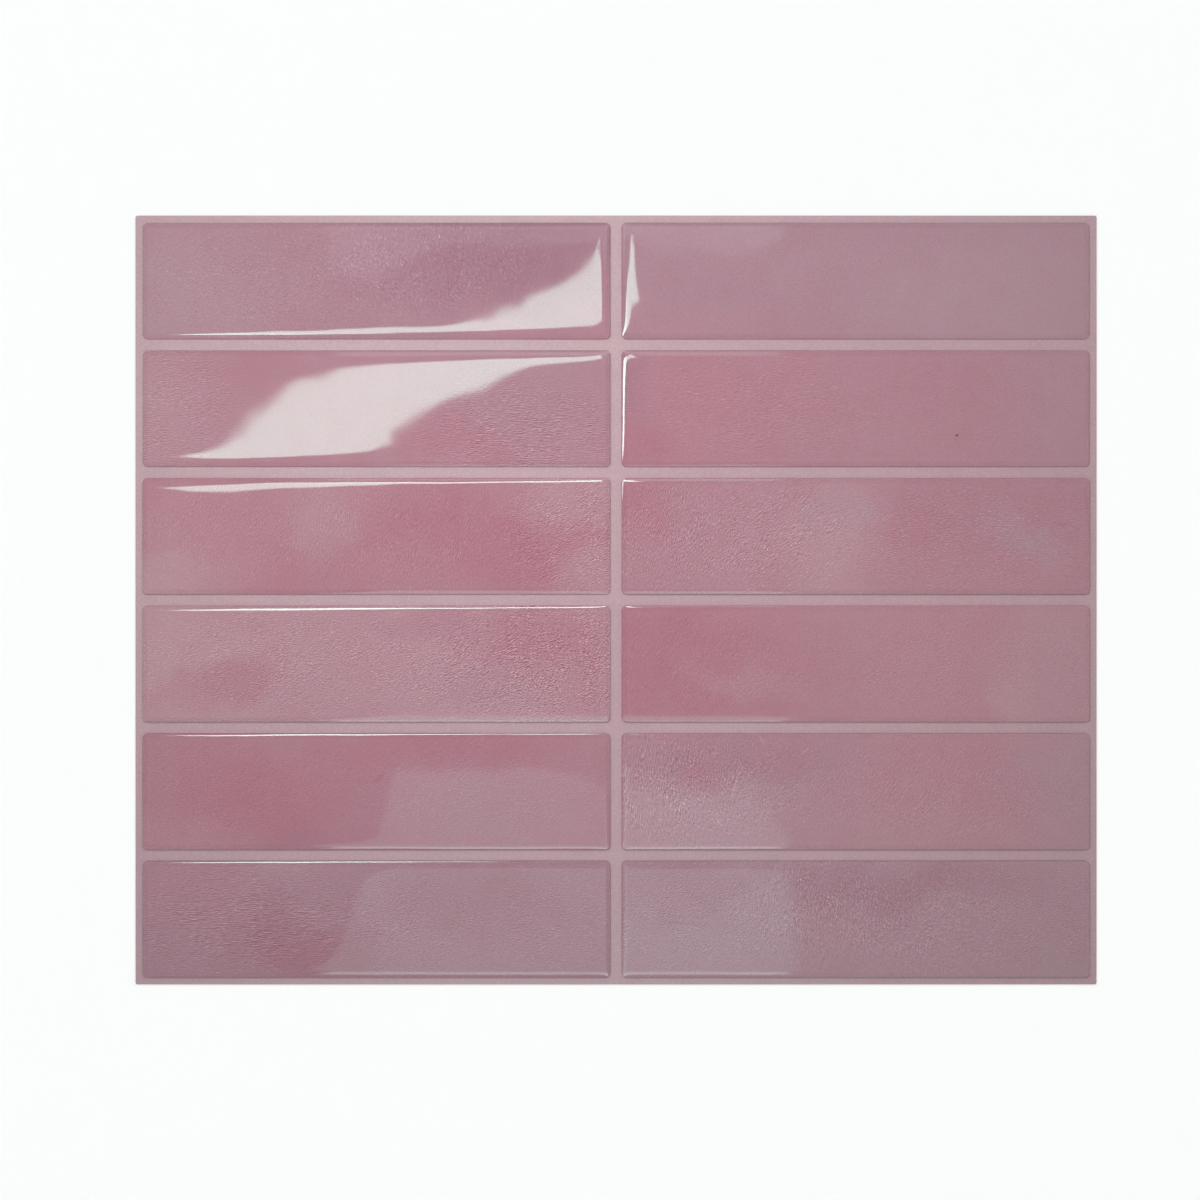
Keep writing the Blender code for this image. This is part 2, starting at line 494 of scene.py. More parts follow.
here = stroke_height_at(relief_in["Place"])
lampwards = stroke_height_at(vector_calc(relief_tree, "ADD", relief_in["Place"], LAMP_STEP))
uneven = noise(relief_tree, scaled(relief_tree, relief_in["Place"], 1 / UNEVEN_SIZE), UNEVEN_DETAIL)
mask = place_group(
    relief_tree,
    patch_tree,
    Place=relief_in["Place"],
    Middle=relief_in["Middle"],
    Half_Length=relief_in["Half Length"],
    Half_Width=relief_in["Half Width"],
    Softness=PATCH_SOFTNESS,
)["Mask"]
uneven = smooth_step(relief_tree, uneven, *UNEVEN_RANGE)
uneven = calc(relief_tree, "MULTIPLY_ADD", uneven, 1 - UNEVEN_LEAST, UNEVEN_LEAST)
mask = calc(relief_tree, "MULTIPLY", mask, uneven)
# Painted light: the flank is a lit side and a shaded side of each stroke towards the lamp, and the glint is
# a painted highlight on the highest peaks.
painted_flank_shade = calc(relief_tree, "SUBTRACT", here, lampwards)
painted_glint = smooth_step(relief_tree, calc(relief_tree, "ADD", here, NOISE_MIDDLE), *PAINTED_GLINT_PEAKS)
light = calc(relief_tree, "MULTIPLY", here, RIDGE_LIGHT)
light = calc(relief_tree, "MULTIPLY_ADD", painted_flank_shade, PAINTED_FLANK_LIGHT, light)
light = calc(relief_tree, "MULTIPLY_ADD", painted_glint, PAINTED_GLINT_LIGHT, light)
feed(relief_tree, relief_out["Height"], calc(relief_tree, "MULTIPLY", here, mask))
feed(relief_tree, relief_out["Light"], calc(relief_tree, "MULTIPLY", light, mask))

# %% [markdown]
# Printed vinyl is never quite even: the ink lies in fine grains. The grain group puts out a
# number around zero, which lightens and darkens a colour a little. The same group at a larger
# size, with more detail, makes the mottle of a glaze.

# %% Group for the ink's grain
GRAIN_ROUGHNESS = 0.6

grain_tree, grain_in, grain_out = new_tree(
    "ink_grain",
    "ShaderNodeTree",
    [("Place", "Vector"), ("Size", "Float"), ("Detail", "Float")],
    [("Grain", "Float")],
)
grain_cell = joined(grain_tree, grain_in["Size"], grain_in["Size"], 1.0)
grain_place = vector_calc(grain_tree, "DIVIDE", grain_in["Place"], grain_cell)
grains = noise(grain_tree, grain_place, grain_in["Detail"], GRAIN_ROUGHNESS)
feed(grain_tree, grain_out["Grain"], calc(grain_tree, "SUBTRACT", grains, NOISE_MIDDLE))
print("pattern groups:", [group.name for group in (patch_tree, height_tree, relief_tree, grain_tree)])

# %% [markdown]
# ## The colours of the print
# The colours are linear values, as the shader wants them. They were judged where the sheet is
# lit at full strength, less the grey that the room's reflection adds to a glossy surface.

# %% Colours
SAGE = (0.495, 0.276, 0.317)
PALE_MAUVE = (0.470, 0.252, 0.300)
PALE_GREY = (0.440, 0.256, 0.305)
LIGHT_ROSE = (0.475, 0.224, 0.275)
MAUVE = (0.445, 0.214, 0.267)
GREY_MAUVE = (0.408, 0.215, 0.268)
DUSTY_ROSE = (0.443, 0.195, 0.249)
DEEP_ROSE = (0.436, 0.170, 0.227)
PLUM = (0.360, 0.170, 0.226)
SMOKE = (0.383, 0.174, 0.222)
GROUT = (0.530, 0.350, 0.390)
GROUT_SHADE = (0.514, 0.336, 0.375)
LINER_PAPER = (0.80, 0.79, 0.75)
LINER_FIBRE = (0.72, 0.70, 0.65)

# %% [markdown]
# ## Twelve prints
# No two tiles of the sheet are alike. A tile's recipe says its ground colour, its clouds and
# its patches of wrinkles, in millimetres from the tile's own middle and in degrees. A cloud is
# a colour, a middle, two half sizes, a turn and a strength. A patch of wrinkles is the turn of
# its strokes, a middle, two half sizes, a stroke's length and width, and a strength.

# %% Recipes of the prints
PRINTS = {
    "row1_col1": {
        "ground": MAUVE,
        "clouds": [
            (GREY_MAUVE, (-20, 2), (50, 24), 0, 0.8),
            (PALE_GREY, (-68, -3), (30, 24), 0, 0.95),
            # The plum cloud on the right paints the dark reflection that lies over this part of the tile, a
            # painted reflection on top of the print.
            (PLUM, (42, 8), (38, 18), 6, 1.0),
            (GREY_MAUVE, (2, -14), (26, 5), 0, 0.5),
        ],
        "wrinkles": [
            (-64, (18, 5), (36, 16), 1.4, 0.30, 0.75),
            (-40, (-34, 0), (50, 20), 1.0, 0.30, 0.42),
        ],
    },
    "row1_col2": {
        "ground": GREY_MAUVE,
        "clouds": [
            (PALE_GREY, (56, -2), (58, 26), 0, 0.95),
            (MAUVE, (-50, -14), (30, 6), 0, 0.5),
            (PALE_GREY, (-30, 8), (22, 8), 0, 0.3),
        ],
        "wrinkles": [(8, (0, 0), (76, 20), 1.0, 0.32, 0.1)],
    },
    "row2_col1": {
        "ground": MAUVE,
        "clouds": [
            (PALE_MAUVE, (-74, -2), (22, 24), 0, 1.0),
            (GREY_MAUVE, (48, 4), (34, 18), 0, 0.8),
            (DUSTY_ROSE, (-40, 10), (18, 8), 0, 0.5),
            (DEEP_ROSE, (22, -10), (17, 7), -12, 0.6),
        ],
        "wrinkles": [
            (0, (46, -6), (34, 16), 1.4, 0.30, 0.7),
            (0, (50, -8), (30, 12), 3.4, 0.34, 0.5),
            (-2, (-66, 1), (22, 20), 1.4, 0.30, 0.6),
        ],
    },
    "row2_col2": {
        "ground": MAUVE,
        "clouds": [
            (DUSTY_ROSE, (-52, 0), (34, 24), 0, 0.9),
            (PLUM, (-72, 9), (9, 12), 0, 0.6),
            (DEEP_ROSE, (-68, -12), (12, 8), 0, 0.9),
            (PALE_GREY, (72, 4), (22, 24), 0, 0.6),
            (DUSTY_ROSE, (20, 4), (26, 10), 0, 0.3),
        ],
        "wrinkles": [
            (2, (-34, 0), (42, 20), 1.3, 0.30, 0.36),
            (4, (40, 0), (36, 20), 0.9, 0.30, 0.14),
        ],
    },
    "row3_col1": {
        "ground": DUSTY_ROSE,
        "clouds": [
            (LIGHT_ROSE, (-62, 3), (24, 20), 0, 1.0),
            (SAGE, (-70, -14), (17, 9), 0, 0.95),
            (PALE_MAUVE, (-14, 12), (15, 8), 10, 0.9),
            (PALE_MAUVE, (-12, 3), (7, 8), 0, 0.7),
            (DEEP_ROSE, (20, 3), (24, 11), -14, 1.0),
            (DEEP_ROSE, (42, -7), (19, 12), 10, 1.0),
            (PALE_MAUVE, (62, 12), (18, 9), 0, 0.9),
            (PALE_MAUVE, (70, -12), (11, 9), 0, 0.8),
        ],
        "wrinkles": [
            (82, (8, 0), (44, 20), 1.1, 0.30, 0.52),
            (20, (62, 0), (24, 20), 0.8, 0.32, 0.95),
            (75, (-52, 0), (34, 20), 1.0, 0.30, 0.42),
        ],
    },
    "row3_col2": {
        "ground": MAUVE,
        "clouds": [
            (DEEP_ROSE, (-72, 11), (12, 12), 0, 0.85),
            (PALE_MAUVE, (-28, -3), (20, 16), 20, 0.5),
            (SAGE, (-6, -2), (14, 20), -8, 0.8),
            (PALE_GREY, (-6, 9), (12, 6), 0, 0.6),
            (DUSTY_ROSE, (21, 2), (14, 11), 0, 1.0),
            (LIGHT_ROSE, (48, -12), (30, 8), 0, 0.6),
            (DUSTY_ROSE, (60, 12), (18, 6), 0, 0.4),
            (PALE_GREY, (53, 1), (11, 5), -40, 0.7),
        ],
        "wrinkles": [
            (84, (-58, 0), (24, 20), 1.0, 0.32, 1.0),
            (36, (-26, 0), (28, 20), 1.0, 0.32, 0.8),
            (-14, (30, 0), (52, 20), 1.0, 0.30, 0.5),
        ],
    },
    "row4_col1": {
        "ground": PALE_MAUVE,
        "clouds": [
            (SAGE, (-66, 4), (30, 22), 0, 1.0),
            (DUSTY_ROSE, (-44, -7), (14, 5), 18, 0.8),
            (LIGHT_ROSE, (-64, -12), (10, 4), 0, 0.6),
            (MAUVE, (-40, 11), (14, 5), 0, 0.4),
            (DUSTY_ROSE, (52, 9), (24, 11), -8, 1.0),
            (MAUVE, (20, 14), (24, 5), 0, 0.8),
            (GREY_MAUVE, (36, -6), (12, 7), -20, 0.4),
            (DUSTY_ROSE, (66, -10), (10, 9), 0, 0.5),
        ],
        "wrinkles": [
            (12, (-20, 0), (74, 22), 0.9, 0.32, 0.7),
            (28, (50, 0), (42, 22), 0.8, 0.32, 1.1),
            (-38, (56, 2), (42, 22), 0.7, 0.32, 1.1),
        ],
    },
    "row4_col2": {
        "ground": LIGHT_ROSE,
        "clouds": [
            (MAUVE, (-18, 0), (24, 24), 0, 0.7),
            (DEEP_ROSE, (-58, 2), (36, 26), -8, 1.0),
            (PALE_MAUVE, (66, -2), (20, 24), 0, 1.0),
            (SAGE, (50, -11), (6, 9), 0, 0.6),
            (PALE_MAUVE, (-34, -4), (16, 6), -14, 0.5),
        ],
        "wrinkles": [
            (70, (-50, 0), (40, 20), 0.9, 0.30, 0.42),
            (30, (34, 0), (64, 20), 0.8, 0.30, 0.36),
        ],
    },
    "row5_col1": {
        "ground": DUSTY_ROSE,
        "clouds": [
            (LIGHT_ROSE, (-66, -13), (26, 9), 0, 0.75),
            (DEEP_ROSE, (-34, -3), (22, 11), -12, 1.0),
            (PLUM, (-20, -15), (20, 5), 0, 0.3),
            (DEEP_ROSE, (20, 14), (34, 6), 0, 0.8),
            (GREY_MAUVE, (34, -6), (30, 12), 0, 0.6),
            (MAUVE, (66, 10), (12, 10), 0, 0.5),
        ],
        "wrinkles": [
            (-24, (-50, 0), (42, 20), 1.0, 0.30, 0.42),
            (20, (32, 2), (56, 20), 0.8, 0.30, 0.34),
        ],
    },
    "row5_col2": {
        "ground": LIGHT_ROSE,
        "clouds": [
            (PALE_GREY, (-40, -6), (40, 22), 0, 0.8),
            (GREY_MAUVE, (-34, 11), (34, 8), 0, 0.9),
            (DUSTY_ROSE, (-45, 9), (8, 7), 0, 0.6),
            (DUSTY_ROSE, (-24, 12), (9, 5), 0, 0.5),
            (PALE_GREY, (72, 0), (20, 24), 0, 0.9),
            (PALE_MAUVE, (24, -14), (40, 7), 0, 0.6),
        ],
        "wrinkles": [
            (-82, (-62, 2), (22, 20), 1.4, 0.32, 1.2),
            (-60, (-42, 0), (28, 20), 1.0, 0.32, 0.95),
            (60, (20, 0), (64, 20), 0.9, 0.30, 0.42),
        ],
    },
    "row6_col1": {
        "ground": GREY_MAUVE,
        "clouds": [
            (MAUVE, (-62, 10), (24, 9), 0, 0.8),
            (PALE_GREY, (-28, 14), (9, 5), 0, 0.5),
            (SMOKE, (-24, -9), (20, 9), -6, 1.0),
            (SMOKE, (26, 6), (24, 10), 0, 0.6),
            (GREY_MAUVE, (56, -14), (28, 6), 0, 0.8),
        ],
        "wrinkles": [
            (0, (-42, 0), (42, 22), 1.3, 0.32, 0.65),
            (0, (-34, -2), (38, 14), 3.6, 0.34, 0.6),
            (14, (8, 0), (26, 20), 0.9, 0.32, 0.62),
            (0, (52, 0), (32, 20), 0.9, 0.30, 0.5),
        ],
    },
    "row6_col2": {
        "ground": PALE_GREY,
        "clouds": [
            (GREY_MAUVE, (-54, 11), (30, 8), 0, 0.8),
            (GREY_MAUVE, (6, 11), (26, 9), 0, 1.0),
            (SMOKE, (26, 10), (9, 5), 0, 0.3),
            (PALE_GREY, (17, -7), (15, 6), -24, 0.6),
            (GREY_MAUVE, (46, 13), (18, 6), 0, 0.6),
        ],
        "wrinkles": [
            (-78, (-14, 4), (28, 20), 1.2, 0.32, 1.0),
            (-56, (20, 0), (30, 20), 1.0, 0.32, 0.8),
            (30, (-52, 0), (34, 20), 0.9, 0.30, 0.72),
            (20, (56, 0), (32, 20), 0.9, 0.30, 0.48),
        ],
    },
}
print("prints:", len(PRINTS), "clouds:", sum(len(recipe["clouds"]) for recipe in PRINTS.values()))

# %% [markdown]
# A few small faults are seen on the real sheet too: nicks and scratches in the gel, and one
# dark speck. Each is a middle in millimetres, a half length, a half width, a turn in degrees
# and how much lighter, or darker where below zero, it is than the print.

# %% Nicks and scratches
# A light and a dark mark side by side, in row4_col1 and row5_col2, paint the lit and the shaded side of one
# scratch: painted shade on real wear.
FAULTS = {
    "row2_col2": [((31.5, -8.4), 0.45, 0.35, 0, -0.7)],
    "row4_col1": [((43.6, 11.8), 1.5, 0.4, -32, -0.14), ((44.0, 12.5), 1.5, 0.3, -30, 0.14)],
    "row5_col1": [((1.0, 4.4), 2.6, 0.8, 40, -0.10), ((12.6, -3.0), 1.6, 0.5, -60, 0.12)],
    "row5_col2": [
        ((-37.6, 2.2), 4.6, 0.34, 74, 0.24),
        ((-38.3, 1.8), 4.2, 0.34, 74, -0.12),
        ((-29.2, 16.0), 1.6, 0.35, -60, 0.22),
        ((-42.6, -9.6), 1.2, 0.4, -50, 0.2),
        ((-15.8, 12.6), 1.6, 0.35, 40, 0.18),
    ],
    "row6_col1": [((5.6, -2.8), 1.5, 0.4, 40, 0.16), ((-48, -9.6), 3.4, 0.35, 2, 0.12)],
    "row6_col2": [((-57.0, -1.0), 2.4, 0.4, -4, -0.12), ((-50, -1.6), 5.0, 0.4, -6, -0.06)],
}

# %% [markdown]
# ## The finish of a gel tile
# The gel is clear and its surface is like polished glass, so its roughness is low and it
# reflects as plastic does. What shows through it is the print. The colour is built up as a
# printer would: ground, clouds, wrinkles, grain, and the wrinkles carry painted shade and
# painted glints. At the rim the print is painted darker, a thin dark outline of painted shade
# for the light that the real gel loses sideways there.
#
# A camera draws a hair-thin glint of a lamp brighter than a broad one. To stand for that, the
# outer two millimetres have a second clear coat, which doubles the reflection. The grey that the
# coat adds is taken off the print below it. The strokes carry a painted sheen without a hue of
# its own, a painted reflection, so they add grey as well as lightening the print. They hardly
# lift the gel's surface: a bump of under a thousandth of a millimetre is enough to fray the edge
# of a reflected lamp.

# %% Helpers for materials


def new_material(name):
    """A material with its tree and the inputs of its shader."""
    material = bpy.data.materials.new(name)
    material.use_nodes = True
    shader = material.node_tree.nodes["Principled BSDF"]
    return material, material.node_tree, shader.inputs


def mix_colour(tree, share, first, second, blend="MIX"):
    """Two colours mixed by a share."""
    node = add_node(tree, "ShaderNodeMix", data_type="RGBA", blend_type=blend)
    sockets = {socket.identifier: socket for socket in node.inputs}
    feed(tree, sockets["Factor_Float"], share)
    feed(tree, sockets["A_Color"], first)
    feed(tree, sockets["B_Color"], second)
    return next(socket for socket in node.outputs if socket.identifier == "Result_Color")


def lightened(tree, colour, factor):
    """A colour times a number."""
    grey = joined(tree, factor, factor, factor)
    return mix_colour(tree, 1.0, colour, grey, blend="MULTIPLY")


def place_in_mm(tree, middle=(0.0, 0.0, 0.0)):
    """The place on the sheet in millimetres, from a point of it in metres."""
    place = add_node(tree, "ShaderNodeTexCoord").outputs["Object"]
    return scaled(tree, vector_calc(tree, "SUBTRACT", place, tuple(middle)), 1 / MM)


def bump_normal(tree, height):
    """The normal of a surface that a height in metres lifts."""
    bump = add_node(tree, "ShaderNodeBump")
    feed(tree, bump.inputs["Distance"], 1.0)
    feed(tree, bump.inputs["Height"], height)
    return bump.outputs["Normal"]


# %% Clouds, wrinkles and faults of one print
CLOUD_BEND_SIZE = 17.0
CLOUD_BEND_REACH = 27.0
CLOUD_BEND_DETAIL = 4.0
CLOUD_SOFTNESS = 0.8
FAULT_SOFTNESS = 0.5
SEED_STEP_OF_TILES = 3.7
SEED_STEP_OF_PATCHES = 1.3
FLATTEN = (1.0, 1.0, 0.0)


def cloud_colour(tree, place, recipe, seed):
    """The ground colour with the recipe's clouds on it."""
    bent = bent_place(tree, place, CLOUD_BEND_SIZE, CLOUD_BEND_REACH, seed, CLOUD_BEND_DETAIL)
    bent = vector_calc(tree, "MULTIPLY", bent, FLATTEN)
    colour = (*recipe["ground"], 1.0)
    for cloud, middle, halves, turn, strength in recipe["clouds"]:
        mask = place_group(
            tree,
            patch_tree,
            Place=bent,
            Middle=(*middle, 0.0),
            Half_Length=halves[0],
            Half_Width=halves[1],
            Turn=math.radians(turn),
            Softness=CLOUD_SOFTNESS,
        )["Mask"]
        colour = mix_colour(tree, calc(tree, "MULTIPLY", mask, strength), colour, (*cloud, 1.0))
    return colour


def wrinkle_sums(tree, place, recipe, seed):
    """Height and light of all of the recipe's patches of wrinkles."""
    height = 0.0
    light = 0.0
    for number, (turn, middle, halves, length, width, strength) in enumerate(recipe["wrinkles"]):
        patch = place_group(
            tree,
            relief_tree,
            Place=place,
            Turn=math.radians(turn),
            Stroke_Length=length,
            Stroke_Width=width,
            Seed=seed * SEED_STEP_OF_TILES + number * SEED_STEP_OF_PATCHES,
            Middle=(*middle, 0.0),
            Half_Length=halves[0],
            Half_Width=halves[1],
        )
        height = calc(tree, "MULTIPLY_ADD", patch["Height"], strength, height)
        light = calc(tree, "MULTIPLY_ADD", patch["Light"], strength, light)
    return height, light


def fault_sum(tree, place, faults):
    """How much lighter or darker the nicks and scratches make the print."""
    flat = vector_calc(tree, "MULTIPLY", place, FLATTEN)
    total = 0.0
    for middle, half_length, half_width, turn, lightness in faults:
        mask = place_group(
            tree,
            patch_tree,
            Place=flat,
            Middle=(*middle, 0.0),
            Half_Length=half_length,
            Half_Width=half_width,
            Turn=math.radians(turn),
            Softness=FAULT_SOFTNESS,
        )["Mask"]
        total = calc(tree, "MULTIPLY_ADD", mask, lightness, total)
    return total


# %% Material of one tile
MOTTLE_SIZE = 9.0
MOTTLE_DETAIL = 4.0
MOTTLE_TINT = (0.04, 0.20, 0.15)
GRAIN_SIZE = 0.42
GRAIN_DETAIL = 2.0
GRAIN_STRENGTH = 0.38
STROKE_TINT = 0.55
STROKE_PAINTED_SHEEN = 0.13
STROKE_BUMP = 0.003 * MM
GEL_ROUGHNESS = 0.03
GEL_IOR = 1.5
RIM_WIDTH_MM = 0.3
RIM_PAINTED_SHADE = 0.10
COAT_RANGE_MM = (2.2, 0.7)
COAT_IOR = 1.6
COAT_GREY = 0.062


def make_tile_material(name, middle, seed):
    """The print of one tile under its clear gel."""
    recipe = PRINTS[name]
    material, tree, shader = new_material(f"gel_{name}")
    place = place_in_mm(tree, middle)
    colour = cloud_colour(tree, place, recipe, seed)
    mottle = place_group(tree, grain_tree, Place=place, Size=MOTTLE_SIZE, Detail=MOTTLE_DETAIL)["Grain"]
    tint = vector_calc(tree, "ADD", scaled(tree, MOTTLE_TINT, mottle), (1.0, 1.0, 1.0))
    colour = mix_colour(tree, 1.0, colour, tint, blend="MULTIPLY")
    # The strokes' light holds painted shade on their flanks and painted glints on their peaks.
    height, strokes = wrinkle_sums(tree, place, recipe, seed)
    grain = place_group(tree, grain_tree, Place=place, Size=GRAIN_SIZE, Detail=GRAIN_DETAIL)["Grain"]
    light = calc(tree, "MULTIPLY_ADD", grain, GRAIN_STRENGTH, 1.0)
    light = calc(tree, "ADD", light, fault_sum(tree, place, FAULTS.get(name, [])))
    light = calc(tree, "MULTIPLY_ADD", strokes, STROKE_TINT, light)
    inset_mm = add_node(tree, "ShaderNodeAttribute", attribute_name=INSET_ATTRIBUTE).outputs["Fac"]
    # Painted shade: the print is darkened along the outer rim into a thin dark outline.
    rim_share = smooth_step(tree, inset_mm, 0.0, RIM_WIDTH_MM)
    painted_rim_shade = calc(tree, "MULTIPLY_ADD", rim_share, RIM_PAINTED_SHADE, 1 - RIM_PAINTED_SHADE)
    coat = smooth_step(tree, inset_mm, *COAT_RANGE_MM)
    colour = lightened(tree, colour, calc(tree, "MULTIPLY", light, painted_rim_shade))
    # The strokes' painted sheen adds grey, a painted reflection. The coat's grey is taken off.
    grey = calc(tree, "MULTIPLY_ADD", strokes, STROKE_PAINTED_SHEEN, calc(tree, "MULTIPLY", coat, -COAT_GREY))
    colour = mix_colour(tree, 1.0, colour, joined(tree, grey, grey, grey), blend="ADD")
    feed(tree, shader["Base Color"], colour)
    feed(tree, shader["Coat Weight"], coat)
    feed(tree, shader["Coat Roughness"], GEL_ROUGHNESS)
    feed(tree, shader["Coat IOR"], COAT_IOR)
    feed(tree, shader["Roughness"], GEL_ROUGHNESS)
    feed(tree, shader["IOR"], GEL_IOR)
    feed(tree, shader["Normal"], bump_normal(tree, calc(tree, "MULTIPLY", height, STROKE_BUMP)))
    return material


# %% [markdown]
# ## Casting the twelve tiles
# Each tile's tree is run once and turned into a plain mesh, which takes the place of its
# plainer solid. The lean of the tiles in the lamp's reach was found from how the lamp's
# reflection jumps from tile to tile, and is a few thousandths. The lowest row has a longer
# meniscus than the rest.

# %% Function that casts one tile
# A meniscus is its rise and its length. The sway goes up by about SWAY_REACH of its full height,
# and the edge is lowered by that and by the lean's reach, to stay inside the solid's box.
CORNER_RADIUS = 1.6 * MM
EDGE_WIDTH = 0.16 * MM
MENISCUS = (0.232 * MM, 1.09 * MM)
LOWEST_ROW_MENISCUS = (0.287 * MM, 1.215 * MM)
SWAY_HEIGHT = 0.09 * MM
SWAY_SIZE = 24 * MM
SWAY_REACH = 0.35
CELLS_ALONG = 300
CELLS_ACROSS = 110
EDGE_CELLS = 6
LEANS = {
    "row1_col1": (0.0022, -0.0040),
    "row2_col1": (0.0032, -0.0046),
    "row3_col1": (-0.0014, 0.0034),
    "row1_col2": (-0.0022, 0.0018),
    "row2_col2": (-0.0018, 0.0021),
}


def input_ids(tree):
    """The identifier of each of a tree's inputs, by name."""
    return {
        item.name: item.identifier
        for item in tree.interface.items_tree
        if item.item_type == "SOCKET" and item.in_out == "INPUT"
    }


def cast_tile(name, node, material, seed):
    """The gel of one tile as a plain mesh, inside the box of its solid."""
    low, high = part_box(node)
    size = high - low
    lean = Vector((*LEANS.get(name, (0.0, 0.0)), 0.0))
    lean_reach = abs(lean.x) * size.x / 2 + abs(lean.y) * size.y / 2
    rise, length = LOWEST_ROW_MENISCUS if name.startswith(f"row{ROWS}_") else MENISCUS
    values = {
        "Middle": Vector(((low.x + high.x) / 2, (low.y + high.y) / 2, low.z)),
        "Length": size.x,
        "Width": size.y,
        "Corner Radius": CORNER_RADIUS,
        "Edge Width": EDGE_WIDTH,
        "Edge Height": size.z - rise - SWAY_HEIGHT * SWAY_REACH - lean_reach,
        "Meniscus Rise": rise,
        "Meniscus Length": length,
        "Lean": lean,
        "Sway Height": SWAY_HEIGHT,
        "Sway Size": SWAY_SIZE,
        "Seed": seed,
        "Cells Along": CELLS_ALONG,
        "Cells Across": CELLS_ACROSS,
        "Edge Cells": EDGE_CELLS,
        "Material": material,
    }
    carrier = add_object("carrier", bpy.data.meshes.new("carrier"))
    modifier = carrier.modifiers.new("cast_gel_tile", "NODES")
    modifier.node_group = gel_tree
    for input_name, identifier in input_ids(gel_tree).items():
        modifier[identifier] = values[input_name]
    evaluated = carrier.evaluated_get(bpy.context.evaluated_depsgraph_get())
    mesh = bpy.data.meshes.new_from_object(evaluated)
    bpy.data.objects.remove(carrier)
    mesh.name = f"gel_{name}"
    return add_object(f"gel_{name}", mesh)


# %% Cast the twelve tiles
tiles = []
for number, name in enumerate(TILE_NAMES):
    node = f"gel_tile_{name}"
    low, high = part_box(node)
    material = make_tile_material(name, (low + high) / 2, float(number))
    tile = cast_tile(name, node, material, float(number))
    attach(tile, "root")
    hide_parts(node)
    tiles.append(tile)
print("gel tiles:", len(tiles), "faces in one:", len(tiles[0].data.polygons))

# %% [markdown]
# ## The film and the liner
# The film is seen in the grout lines and the margin, where the print is plain. Its vinyl has a
# satin surface, so it is rougher than the gel. Its solid has the right shape and stays.

# %% Film material
BLOTCH_SIZE = 9.0
BLOTCH_DETAIL = 3.0
BLOTCH_RANGE = (0.35, 0.70)
FILM_ROUGHNESS = 0.27
FILM_GRAIN_SIZE = 0.4
FILM_GRAIN_TINT = 0.12
FILM_GRAIN_ROUGHNESS = 0.1
FILM_GRAIN_BUMP = 0.004 * MM


def make_film_material():
    """Printed vinyl in the colour of grout."""
    material, tree, shader = new_material("satin_vinyl")
    place = place_in_mm(tree)
    blotch = noise(tree, scaled(tree, place, 1 / BLOTCH_SIZE), BLOTCH_DETAIL)
    shade = smooth_step(tree, blotch, *BLOTCH_RANGE)
    colour = mix_colour(tree, shade, (*GROUT, 1.0), (*GROUT_SHADE, 1.0))
    grain = place_group(tree, grain_tree, Place=place, Size=FILM_GRAIN_SIZE, Detail=GRAIN_DETAIL)["Grain"]
    colour = lightened(tree, colour, calc(tree, "MULTIPLY_ADD", grain, FILM_GRAIN_TINT, 1.0))
    roughness = calc(tree, "MULTIPLY_ADD", grain, FILM_GRAIN_ROUGHNESS, FILM_ROUGHNESS)
    feed(tree, shader["Base Color"], colour)
    feed(tree, shader["Roughness"], roughness)
    feed(tree, shader["Normal"], bump_normal(tree, calc(tree, "MULTIPLY", grain, FILM_GRAIN_BUMP)))
    return material


def wear_material(node, material):
    """Gives a solid of the frame its finish."""
    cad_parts[node].material_slots[0].material = material
    print(node, "wears", material.name)


wear_material("printed_film", make_film_material())

# %% [markdown]
# The liner is siliconised paper. Only its edge and its underside can be seen. Paper shows fine
# fibres that lie mostly along the roll, and a faint cloudiness when light falls on it.

# %% Liner material
LINER_ROUGHNESS = 0.38
FIBRE_LENGTH = 3.0
FIBRE_WIDTH = 0.25
FIBRE_DETAIL = 2.0
FIBRE_RANGE = (0.40, 0.75)
FIBRE_ROUGHNESS = 0.12
FIBRE_BUMP = 0.004 * MM
PAPER_CLOUD_SIZE = 12.0
PAPER_CLOUD_DETAIL = 3.0
PAPER_CLOUD_LEAST = 0.2


def make_liner_material():
    """Off-white release paper with fibres along the roll."""
    material, tree, shader = new_material("release_paper")
    place = place_in_mm(tree)
    fibre_place = vector_calc(tree, "DIVIDE", place, (FIBRE_LENGTH, FIBRE_WIDTH, 1.0))
    fibre = noise(tree, fibre_place, FIBRE_DETAIL)
    cloud = noise(tree, scaled(tree, place, 1 / PAPER_CLOUD_SIZE), PAPER_CLOUD_DETAIL)
    cloud = calc(tree, "ADD", cloud, PAPER_CLOUD_LEAST)
    share = calc(tree, "MULTIPLY", smooth_step(tree, fibre, *FIBRE_RANGE), cloud)
    feed(tree, shader["Base Color"], mix_colour(tree, share, (*LINER_PAPER, 1.0), (*LINER_FIBRE, 1.0)))
    feed(tree, shader["Roughness"], calc(tree, "MULTIPLY_ADD", fibre, FIBRE_ROUGHNESS, LINER_ROUGHNESS))
    feed(tree, shader["Normal"], bump_normal(tree, calc(tree, "MULTIPLY", fibre, FIBRE_BUMP)))
    return material


wear_material("release_liner", make_liner_material())

# %% [markdown]
# ## The light
# A long softbox hangs above the upper left: its reflection is the bright band over the upper
# tiles, so its corners were worked out from that band. Three weak panels give the pale veils
# over the lower tiles and at the sheet's upper edge. A nearer lamp, which no reflection shows,
# makes the light fall off to the lower right, and the white room fills in the rest.
#
# Each corner of a panel has a place and the width over which the panel's light fades to the
# room's white, because some edges of the reflections are crisp and others are soft.

